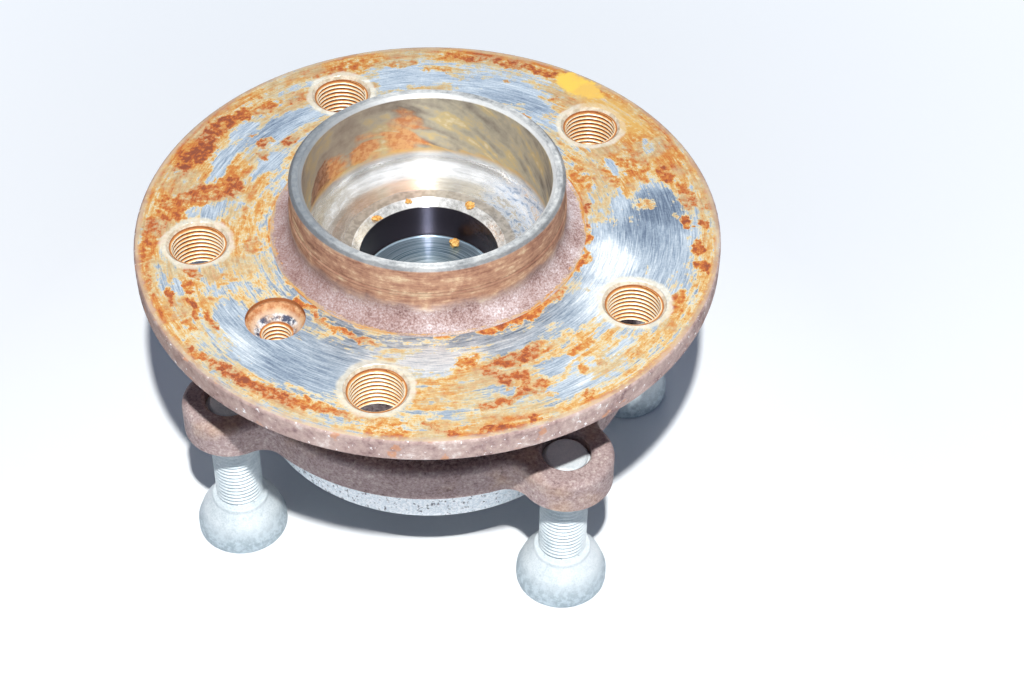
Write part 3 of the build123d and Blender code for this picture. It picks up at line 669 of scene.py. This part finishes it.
    # Regions, from the outside in
    wall_edge = g.add(g.z, shake)
    on_foot = g.both(
        g.above(g.radius, FOOT_R, 0.4), g.above(g.z, -0.05, 0.1), g.below(wall_edge, WALL_FOOT_Z, 4.5)
    )
    on_wall = g.both(g.above(g.radius, WALL_R, 0.2), g.above(wall_edge, WALL_FOOT_Z, 4.5))
    on_lip = g.above(g.z, COLLAR_TOP - LIP_DEPTH, 0.3)
    inside = g.below(g.radius, INNER_WALL_R, 0.3)
    outboard = g.above(g.z, CLEAN_STEEL_Z, 1.0)
    on_inner = g.both(inside, g.above(g.z, BOWL_Z, 3.0), outboard)
    on_bowl = g.both(inside, g.below(g.z, BOWL_Z, 3.0), outboard)
    on_chamfer = g.both(g.below(g.radius, CHAMFER_R, 0.1), g.above(g.z, CHAMFER_Z, 0.1), inside)
    on_bore = g.both(g.below(g.radius, BORE_R, 0.1), g.below(g.z, BORE_TOP_Z, 0.15), outboard)
    on_floor = g.both(g.below(g.radius, BORE_FLOOR_R, 0.3), g.below(g.z, BORE_FLOOR_Z, 0.3), outboard)
    colour = g.colours(
        g.total((streaks, 0.4), (floor_marks, 0.3), (blotch, 0.3)),
        (0.40, (140, 143, 148)),
        (0.50, (176, 178, 181)),
        (0.62, (206, 208, 210)),
    )
    # The bore's wall is painted near black: painted shade and dark reflection inside the bore.
    for mask, finish in (
        (on_foot, sand), (on_wall, wall), (on_inner, inner), (on_bowl, bowl), (on_chamfer, bright),
        (on_bore, (70, 60, 66)), (on_floor, bore_floor), (on_lip, lip),
    ):
        colour = g.mix(mask, colour, finish)

    outside = g.most(on_foot, on_wall)
    metal = g.blend(outside, 0.85, 0.0)
    metal = g.blend(on_inner, metal, 0.35)
    metal = g.blend(g.both(on_bowl, g.most(stained_ring, scratched)), metal, 0.3)
    metal = g.blend(on_lip, metal, 0.2)
    roughness = g.blend(outside, 0.24, 0.85)
    roughness = g.blend(on_inner, roughness, 0.5)
    roughness = g.blend(on_lip, roughness, 0.5)
    roughness = g.blend(on_floor, roughness, 0.34)
    normal = g.bump(fine, 0.24, where=on_foot)
    normal = g.bump(levels, 0.14, normal, on_wall)
    normal = g.bump(grain, 0.10, normal, on_lip)
    turned = g.node("ShaderNodeTangent", direction_type="RADIAL", axis="Z").outputs[0]
    return g.finish(
        Base_Color=colour, Metallic=metal, Roughness=roughness, Normal=normal, **RUST_GLOSS,
        Tangent=turned, Anisotropic=0.8, Anisotropic_Rotation=0.25,
    )


def ring_material():
    """Outer ring: evenly rusted forging, painted darker as shade on its body under the flange, with a pale
    turned spigot full of small dark pits.
    """
    g = Graph("ring_steel_finish")
    fine = g.noise(g.place, 0.6, 4.0, 0.65)
    grain = g.noise(g.place, 1.1, 4.0, 0.7, offset=3.0)
    blotch = g.noise(g.place, 9.0, 4.0, 0.6, offset=5.0)
    rust = g.colours(
        g.total((grain, 0.4), (blotch, 0.2), (fine, 0.4)),
        (0.36, (114, 95, 95)),
        (0.45, (164, 142, 140)),
        (0.54, (187, 167, 164)),
        (0.66, (226, 217, 210)),
    )
    warm = g.mul(g.ramp(g.noise(g.place, 14.0, 3.0, 0.5, offset=13.0), 0.5, 0.7), 0.5)
    tan = g.tones(grain, 0.4, 0.6, (186, 150, 124), (214, 184, 154))
    rust = g.mix(warm, rust, tan)
    # Painted shade: the ring's body under the flange is darkened, where the flange shades it.
    body = g.below(g.radius, RING_SHADE_R, 3.0)
    shade_under_flange = g.tones(grain, 0.40, 0.62, (92, 80, 84), (176, 162, 162))
    rust = g.mix(g.mul(body, 0.6), rust, shade_under_flange)
    pits = g.ramp(g.noise(g.place, 1.1, 3.0, 0.7, offset=7.0), 0.56, 0.66)
    pits = g.mul(pits, g.ramp(blotch, 0.35, 0.6, 0.4, 1.0))
    spigot_steel = g.tones(fine, 0.4, 0.62, (214, 223, 230), (244, 247, 250))
    spigot_steel = g.mix(pits, spigot_steel, (104, 104, 112))
    on_spigot = g.both(
        g.below(g.z, SPIGOT_Z, 0.3), g.above(g.radius, SPIGOT_R[0], 0.2), g.below(g.radius, SPIGOT_R[1], 0.2)
    )
    below_seat = g.both(g.below(g.z, RING_SEAT_Z, 0.15), g.above(g.radius, RING_SEAT_R, 0.3))
    in_ring = g.below(g.radius, RING_BORE_R, 0.1)
    seat_steel = g.tones(grain, 0.42, 0.58, (150, 146, 144), (206, 204, 200))
    colour = g.mix(below_seat, rust, seat_steel)
    colour = g.mix(on_spigot, colour, spigot_steel)
    colour = g.mix(in_ring, colour, (172, 172, 172))
    metal = g.most(g.mul(on_spigot, 0.5), g.mul(in_ring, 0.9), g.mul(below_seat, 0.4))
    roughness = g.blend(in_ring, g.blend(g.most(on_spigot, below_seat), 0.85, 0.45), 0.22)
    normal = g.bump(g.total((fine, 0.6), (grain, 0.4)), 0.22, where=g.invert(in_ring))
    return g.finish(Base_Color=colour, Metallic=metal, Roughness=roughness, Normal=normal, **RUST_GLOSS)


def zinc_material():
    """Pale silver zinc flake coating with faint grey mottling, and painted shade round the rim of each bolt
    head.
    """
    g = Graph("zinc_flake_finish")
    fine = g.noise(g.place, 0.45, 4.0, 0.7)
    mottle = g.noise(g.place, 1.6, 5.0, 0.7, offset=4.0)
    cloud = g.noise(g.place, 9.0, 3.0, 0.5, offset=2.0)
    colour = g.colours(
        g.total((fine, 0.35), (mottle, 0.3), (cloud, 0.35)),
        (0.36, (190, 203, 208)),
        (0.48, (218, 227, 231)),
        (0.62, (236, 242, 244)),
    )
    from_axis = FAR_AWAY
    for number in BOLT_NUMBERS:
        low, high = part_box(f"bolt_{number}")
        middle = (low + high) / 2 / MM
        here = g.vector("DISTANCE", g.flat, (middle.x, middle.y, 0.0))
        from_axis = g.math("MINIMUM", here, from_axis)
    # Painted shade: the rim of each bolt head is darkened, as the sides of a domed head turn away from the
    # lamp.
    rim = g.ramp(g.add(from_axis, g.swing(mottle, 1.6)), *BOLT_SHADE_R, 0.0, 0.85)
    colour = g.mix(rim, colour, g.tones(mottle, 0.4, 0.6, (146, 164, 174), (190, 205, 213)))
    normal = g.bump(fine, 0.05)
    return g.finish(Base_Color=colour, Metallic=0.1, Roughness=0.48, Normal=normal, **RUST_GLOSS)


def thread_material():
    """Wheel bolt threads: bare pale crests and rusty flanks and roots."""
    g = Graph("thread_finish")
    hole = near_wheel_hole(g)
    screw_hole = g.vector("DISTANCE", g.flat, DISC_SCREW_PLACE)
    grain = g.noise(g.place, 1.3, 4.0, 0.6)
    side = g.noise(g.place, 6.0, 2.0, 0.5, offset=4.0)
    in_screw_hole = g.most(g.ramp(screw_hole, 3.4, 3.9), g.above(screw_hole, 5.0, 0.1))
    depth = g.math("MINIMUM", g.ramp(hole, 6.25, 6.9), in_screw_hole)
    level = g.add(depth, g.add(g.swing(grain, 0.5), g.swing(side, 0.5)))
    colour = g.colours(
        level,
        (0.04, (248, 240, 220)),
        (0.26, (238, 206, 158)),
        (0.55, (226, 160, 94)),
        (0.90, (178, 112, 64)),
    )
    metal = g.ramp(level, 0.1, 0.5, 0.4, 0.0)
    normal = g.bump(grain, 0.06)
    return g.finish(Base_Color=colour, Metallic=metal, Roughness=0.5, Normal=normal, **RUST_GLOSS)


def steel_material(name, dark, light, roughness, metal):
    """Ground or pressed steel, faintly cloudy, with fine marks round the spin axis."""
    g = Graph(name)
    cloud = g.noise(g.place, 5.0, 3.0, 0.6)
    marks = g.noise(g.polar(0.45, 30.0), 1.0, 3.0, 0.6)
    grain = g.total((cloud, 0.55), (marks, 0.45))
    normal = g.bump(marks, 0.006)
    rough = g.ramp(grain, 0.35, 0.65, roughness * 0.9, roughness * 1.2)
    colour = g.colours(grain, (0.38, dark), (0.62, light))
    return g.finish(Base_Color=colour, Metallic=metal, Roughness=rough, Normal=normal)


def soft_material(name, dark, light, grain_size, roughness):
    """Rubber or moulded plastic with a fine grain."""
    g = Graph(name)
    grain = g.noise(g.place, grain_size, 3.0, 0.6)
    normal = g.bump(grain, 0.04)
    rough = g.ramp(grain, 0.35, 0.65, roughness * 0.85, roughness * 1.1)
    colour = g.colours(grain, (0.38, dark), (0.62, light))
    return g.finish(Base_Color=colour, Roughness=rough, Normal=normal)


def crumb_material():
    """Loose crumb of ochre rust."""
    g = Graph("rust_crumb_finish")
    grain = g.noise(g.place, 0.6, 4.0, 0.6)
    colour = g.colours(grain, (0.38, (196, 126, 52)), (0.6, (244, 200, 120)))
    return g.finish(Base_Color=colour, Roughness=0.9, Normal=g.bump(grain, 0.2))


zinc_finish = zinc_material()
thread_finish = thread_material()
crumb_finish = crumb_material()
bearing_finish = steel_material("bearing_steel_finish", (176, 178, 182), (212, 214, 218), 0.25, 0.95)
ball_finish = steel_material("ball_steel_finish", (206, 208, 212), (224, 226, 230), 0.08, 1.0)
seal_finish = steel_material("seal_steel_finish", (150, 152, 152), (184, 186, 186), 0.35, 0.9)
cage_finish = soft_material("cage_plastic_finish", (96, 88, 76), (124, 114, 98), 0.9, 0.5)
rubber_finish = soft_material("seal_rubber_finish", (30, 30, 31), (44, 44, 45), 0.5, 0.6)
encoder_finish = soft_material("encoder_rubber_finish", (50, 46, 46), (70, 66, 64), 0.7, 0.55)

finishes = {
    "hub_flange": flange_material(), "hub_spindle": spindle_material(),
    "outer_ring": ring_material(), "inner_ring": bearing_finish,
    "outboard_seal_core": seal_finish, "inboard_seal_case": seal_finish, "inboard_flinger": seal_finish,
    "outboard_seal_lip": rubber_finish, "inboard_seal_lip": rubber_finish, "encoder_ring": encoder_finish,
    "outboard_cage": cage_finish, "inboard_cage": cage_finish,
    **{name: ball_finish for name in nodes if "_ball_" in name},
}
for name, material in finishes.items():
    slots = nodes[name].data.materials
    slots.clear()
    slots.append(material)


# Pieces made here: threaded bolts, threads in the holes, crumbs

def thread_profile(share):
    """Depth of a 60 degree thread, 0 at its crest and 1 at its root, at a share of its pitch."""
    crest = root = THREAD_FLAT
    flank = (1 - crest - root) / 2
    if share < crest:
        return 0.0
    if share < crest + flank:
        return (share - crest) / flank
    if share < crest + flank + root:
        return 1.0
    return 1 - (share - crest - flank - root) / flank


def mesh_object(name, mesh_builder, material):
    """New object from a bmesh, with merged points, outward normals and smooth faces split at sharp edges."""
    bmesh.ops.remove_doubles(mesh_builder, verts=mesh_builder.verts, dist=MERGE_DISTANCE)
    bmesh.ops.dissolve_degenerate(mesh_builder, dist=SLIVER_LENGTH, edges=mesh_builder.edges)
    bmesh.ops.recalc_face_normals(mesh_builder, faces=mesh_builder.faces)
    mesh = bpy.data.meshes.new(name)
    mesh_builder.to_mesh(mesh)
    mesh_builder.free()
    for polygon in mesh.polygons:
        polygon.use_smooth = True
    mesh.set_sharp_from_angle(angle=math.radians(SHARP_ANGLE))
    mesh.materials.append(material)
    made = bpy.data.objects.new(name, mesh)
    bpy.context.scene.collection.objects.link(made)
    return made


def ring_of(builder, centre, radius_at, z, segments):
    """Ring of points round a centre. radius_at gives the radius at an angle, or is one number."""
    made = []
    for i in range(segments):
        angle = 2 * math.pi * i / segments
        radius = radius_at(angle) if callable(radius_at) else radius_at
        point = (centre.x + radius * math.cos(angle), centre.y + radius * math.sin(angle), z)
        made.append(builder.verts.new(Vector(point) * MM))
    return made


def skin_rings(builder, rings):
    """Faces between neighbouring rings of equal length."""
    for low, high in zip(rings, rings[1:]):
        count = len(low)
        for i in range(count):
            j = (i + 1) % count
            builder.faces.new((low[i], low[j], high[j], high[i]))


def cap(builder, ring, centre, z):
    """Fan that closes a ring with a point on its axis."""
    middle = builder.verts.new(Vector((centre.x, centre.y, z)) * MM)
    for i, vertex in enumerate(ring):
        builder.faces.new((vertex, ring[(i + 1) % len(ring)], middle))


def helix(builder, centre, low, high, pitch, radius_at_depth, end_radius, segments):
    """Helical thread surface between two heights. Points past an end fold onto it."""
    turns = math.ceil((high - low) / pitch) + 2
    rows = turns * THREAD_ROWS + 1
    grid = []
    for row in range(rows):
        line = []
        for i in range(segments + 1):
            height = low + (row / THREAD_ROWS + i / segments - 1) * pitch
            held = min(max(height, low), high)
            depth = thread_profile((row / THREAD_ROWS) % 1.0)
            radius = end_radius if held != height else radius_at_depth(depth)
            angle = 2 * math.pi * i / segments
            x, y = centre.x + radius * math.cos(angle), centre.y + radius * math.sin(angle)
            line.append(builder.verts.new(Vector((x, y, held)) * MM))
        grid.append(line)
    for low_line, high_line in zip(grid, grid[1:]):
        for i in range(segments):
            corners = (low_line[i], low_line[i + 1], high_line[i + 1], high_line[i])
            if len({tuple(round(value, 8) for value in corner.co) for corner in corners}) > 2:
                builder.faces.new(corners)


def arc_points(corners, steps=6):
    """Polyline through (radius, height) corners. A third number rounds that corner with a short arc."""
    points = []
    for index, corner in enumerate(corners):
        here = Vector(corner[:2])
        if len(corner) == 2:
            points.append(here)
            continue
        before = (Vector(corners[index - 1][:2]) - here).normalized()
        after = (Vector(corners[index + 1][:2]) - here).normalized()
        half = before.angle(after) / 2
        reach = corner[2] / math.tan(half)
        middle = here + (before + after).normalized() * (corner[2] / math.sin(half))
        start = here + before * reach - middle
        sweep = math.pi - 2 * half
        sign = 1.0 if start.cross(here + after * reach - middle) > 0 else -1.0
        for step in range(steps + 1):
            turn = Matrix.Rotation(sign * sweep * step / steps, 2)
            points.append(middle + turn @ start)
    return points


def socket_radius(angle):
    """Outline of the six-lobed socket in a bolt's head."""
    step = math.radians(60)
    local = (angle + step / 2) % step - step / 2
    across = SOCKET_LOBE_CENTRE_R * math.sin(local)
    if abs(across) >= SOCKET_LOBE_R:
        return SOCKET_WALL_R
    lobe = SOCKET_LOBE_CENTRE_R * math.cos(local) + math.sqrt(SOCKET_LOBE_R**2 - across**2)
    return max(SOCKET_WALL_R, lobe)


def threaded_bolt(number):
    """Ear bolt with a real thread, neck, domed head and socket, in the place of its plain solid."""
    low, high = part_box(f"bolt_{number}")
    centre = (low + high) / 2 / MM
    bottom, tip = low.z / MM, high.z / MM
    seat = bottom + BOLT_HEAD_HEIGHT
    thread_low = seat + BOLT_NECK_HEIGHT + BOLT_RUNOUT
    thread_high = tip - BOLT_TIP_LENGTH
    builder = bmesh.new()
    head = arc_points(
        [
            (BOLT_END_R, bottom),
            (BOLT_HEAD_R, bottom, 0.9),
            (BOLT_HEAD_R, bottom + BOLT_RIM_HEIGHT, 1.2),
            (BOLT_DOME_R, seat - BOLT_DOME_DROP, 6.0),
            (BOLT_NECK_R, seat, 0.8),
            (BOLT_NECK_R, seat + BOLT_NECK_HEIGHT, 0.5),
            (6.0, seat + BOLT_NECK_HEIGHT),
        ]
    )
    socket_top = bottom + SOCKET_DEPTH
    outline = [
        (socket_radius, socket_top),
        (socket_radius, bottom + SOCKET_MOUTH),
        (lambda angle: socket_radius(angle) + SOCKET_MOUTH, bottom),
        *head,
        (BOLT_ROOT_R, thread_low),
    ]
    rings = [ring_of(builder, centre, radius, z, BOLT_SEGMENTS) for radius, z in outline]
    skin_rings(builder, rings)
    cap(builder, rings[0], centre, socket_top + SOCKET_CONE_HEIGHT)
    helix(
        builder, centre, thread_low, thread_high, BOLT_PITCH,
        lambda depth: BOLT_CREST_R + (BOLT_ROOT_R - BOLT_CREST_R) * depth, BOLT_ROOT_R, BOLT_SEGMENTS,
    )
    point = [(BOLT_ROOT_R, thread_high), (BOLT_ROOT_R - 0.1, tip - 0.35), (BOLT_ROOT_R - 0.5, tip)]
    tip_rings = [ring_of(builder, centre, radius, z, BOLT_SEGMENTS) for radius, z in point]
    skin_rings(builder, tip_rings)
    cap(builder, tip_rings[-1], centre, tip)
    bolt = mesh_object(f"ear_bolt_{number}_threaded", builder, zinc_finish)
    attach(bolt, f"ear_bolt_{number}")
    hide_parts(f"bolt_{number}")


for number in BOLT_NUMBERS:
    threaded_bolt(number)


def threaded_hole(name, centre, radii, heights, segments):
    """Thread inside a plain hole of a solid: a sleeve with a helical inside, its outside against the hole."""
    builder = bmesh.new()
    (crest_r, outer_r), (low, high) = radii, heights
    root_r = outer_r - HOLE_ROOT_GAP
    helix(
        builder, centre, low, high, HOLE_THREAD_PITCH,
        lambda depth: crest_r + (root_r - crest_r) * depth, root_r, segments,
    )
    wall = [(root_r, high), (outer_r, high), (outer_r, low), (root_r, low)]
    skin_rings(builder, [ring_of(builder, centre, radius, z, segments) for radius, z in wall])
    made = mesh_object(name, builder, thread_finish)
    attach(made, "hub")


for index in range(WHEEL_HOLES):
    place = on_circle(WHEEL_CIRCLE_R, WHEEL_HOLE_PHASE + WHEEL_HOLE_STEP * index)
    threaded_hole(f"wheel_thread_{index + 1}", place, WHEEL_THREAD_R, WHEEL_THREAD_Z, 96)
threaded_hole("disc_screw_thread", DISC_SCREW_PLACE, SCREW_THREAD_R, SCREW_THREAD_Z, 72)


def crumb(name, place, size, seed):
    """Small ragged lump lying on the hub."""
    builder = bmesh.new()
    bmesh.ops.create_icosphere(builder, subdivisions=3, radius=1.0)
    for vertex in builder.verts:
        direction = vertex.co.normalized()
        swell = 1.0 + 0.45 * noise.noise(direction * 1.7 + Vector((seed, seed * 0.37, 0.0)))
        swell += 0.18 * noise.noise(direction * 4.5 + Vector((0.0, seed, 3.1)))
        reach = Vector([along * half for along, half in zip(direction, size)])
        vertex.co = (Vector(place) + reach * swell) * MM
    made = mesh_object(name, builder, crumb_finish)
    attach(made, "hub")


for row in (
    ("rust_crumb_1", (5.8, 13.4, -18.2), (1.3, 1.0, 1.3), 3.0),
    ("rust_crumb_2", (9.7, 16.2, -7.9), (1.25, 1.1, 0.8), 7.0),
    ("rust_crumb_3", (-5.9, 17.6, -8.1), (0.9, 0.7, 0.6), 11.0),
    ("rust_crumb_4", (-13.6, 11.3, -8.3), (1.3, 0.8, 0.5), 15.0),
):
    crumb(*row)


# Floor, light and camera

FLOOR_HALF = 3.0
GLOW_SPAN = (130.0, 800.0)
GLOW_STRENGTH = 1.05
GLOW_COLOUR = (0.93, 0.97, 1.0, 1.0)
SKY_FILL = (0.058, 0.080, 0.134, 1.0)
SKY_SEEN = (1.0, 1.0, 1.0, 1.0)

# The camera, in metres: where it stands, and the directions of its right and its back
CAMERA_PLACE = (0.0209135, -0.3765662, 0.3409467)
CAMERA_RIGHT = (0.999836, 0.012873, 0.012754)
CAMERA_BACK = (0.0, -0.703812, 0.710386)
CAMERA_LENS = 73.04


def seen_directly(tree):
    """Output that is 1 for rays from the camera, gloss and clear things, and 0 for soft light."""
    path = tree.nodes.new("ShaderNodeLightPath")
    total = path.outputs["Is Camera Ray"]
    for name in ("Is Glossy Ray", "Is Transmission Ray"):
        add = tree.nodes.new("ShaderNodeMath")
        add.operation = "MAXIMUM"
        tree.links.new(total, add.inputs[0])
        tree.links.new(path.outputs[name], add.inputs[1])
        total = add.outputs[0]
    return total


def floor_material():
    """Matt pale floor. Far from the part it glows to the camera, to stay pale past the lamp's reach."""
    g = Graph("floor_finish")
    colour = g.mix(g.noise(g.place, 260.0, 2.0, 0.5), (244, 249, 254), (252, 254, 255))
    away = g.ramp(g.vector("LENGTH", g.flat), *GLOW_SPAN, 0.0, GLOW_STRENGTH, "LINEAR")
    glow = g.mul(away, seen_directly(g.tree))
    return g.finish(
        Base_Color=colour, Roughness=0.95, Specular_IOR_Level=0.0,
        Emission_Color=GLOW_COLOUR, Emission_Strength=glow,
    )


builder = bmesh.new()
corners = [(-1, -1), (1, -1), (1, 1), (-1, 1)]
builder.faces.new([builder.verts.new((x * FLOOR_HALF, y * FLOOR_HALF, FLOOR_Z)) for x, y in corners])
floor = mesh_object("floor", builder, floor_material())

world = bpy.data.worlds.new("studio")
bpy.context.scene.world = world
world.use_nodes = True
tree = world.node_tree
tree.nodes.clear()
world_output = tree.nodes.new("ShaderNodeOutputWorld")
background = tree.nodes.new("ShaderNodeBackground")
sky = tree.nodes.new("ShaderNodeMix")
sky.data_type = "RGBA"
sky_colours = [socket for socket in sky.inputs if socket.type == "RGBA"]
sky_colours[0].default_value = SKY_FILL
sky_colours[1].default_value = SKY_SEEN
tree.links.new(seen_directly(tree), sky.inputs[0])
tree.links.new([socket for socket in sky.outputs if socket.type == "RGBA"][0], background.inputs["Color"])
tree.links.new(background.outputs[0], world_output.inputs["Surface"])


def area_lamp(name, place, aim, size, power, colour=(1.0, 1.0, 1.0)):
    """Round soft lamp that shines from a place towards a point, both in metres."""
    lamp = bpy.data.lights.new(name, "AREA")
    lamp.shape = "DISK"
    lamp.size = size
    lamp.energy = power
    lamp.color = colour
    made = bpy.data.objects.new(name, lamp)
    made.location = place
    made.rotation_euler = (Vector(aim) - Vector(place)).to_track_quat("-Z", "Y").to_euler()
    bpy.context.scene.collection.objects.link(made)


area_lamp("key_lamp", (0.038, -0.437, 0.696), (0.0, 0.0, -0.02), 0.024, 8.6, (1.0, 0.995, 0.98))
area_lamp("back_lamp", (0.0, 0.95, 0.55), (0.0, 0.0, -0.03), 0.7, 1.3)

camera_data = bpy.data.cameras.new("camera")
camera_data.lens = CAMERA_LENS
camera_data.sensor_width = 36.0
camera_data.clip_start = 0.01
camera = bpy.data.objects.new("camera", camera_data)
right = Vector(CAMERA_RIGHT).normalized()
back = Vector(CAMERA_BACK).normalized()
up = back.cross(right).normalized()
turn = Matrix((right, up, back)).transposed().to_4x4()
camera.matrix_world = Matrix.Translation(CAMERA_PLACE) @ turn
bpy.context.scene.collection.objects.link(camera)
bpy.context.scene.camera = camera
bpy.context.scene.view_settings.view_transform = "Standard"
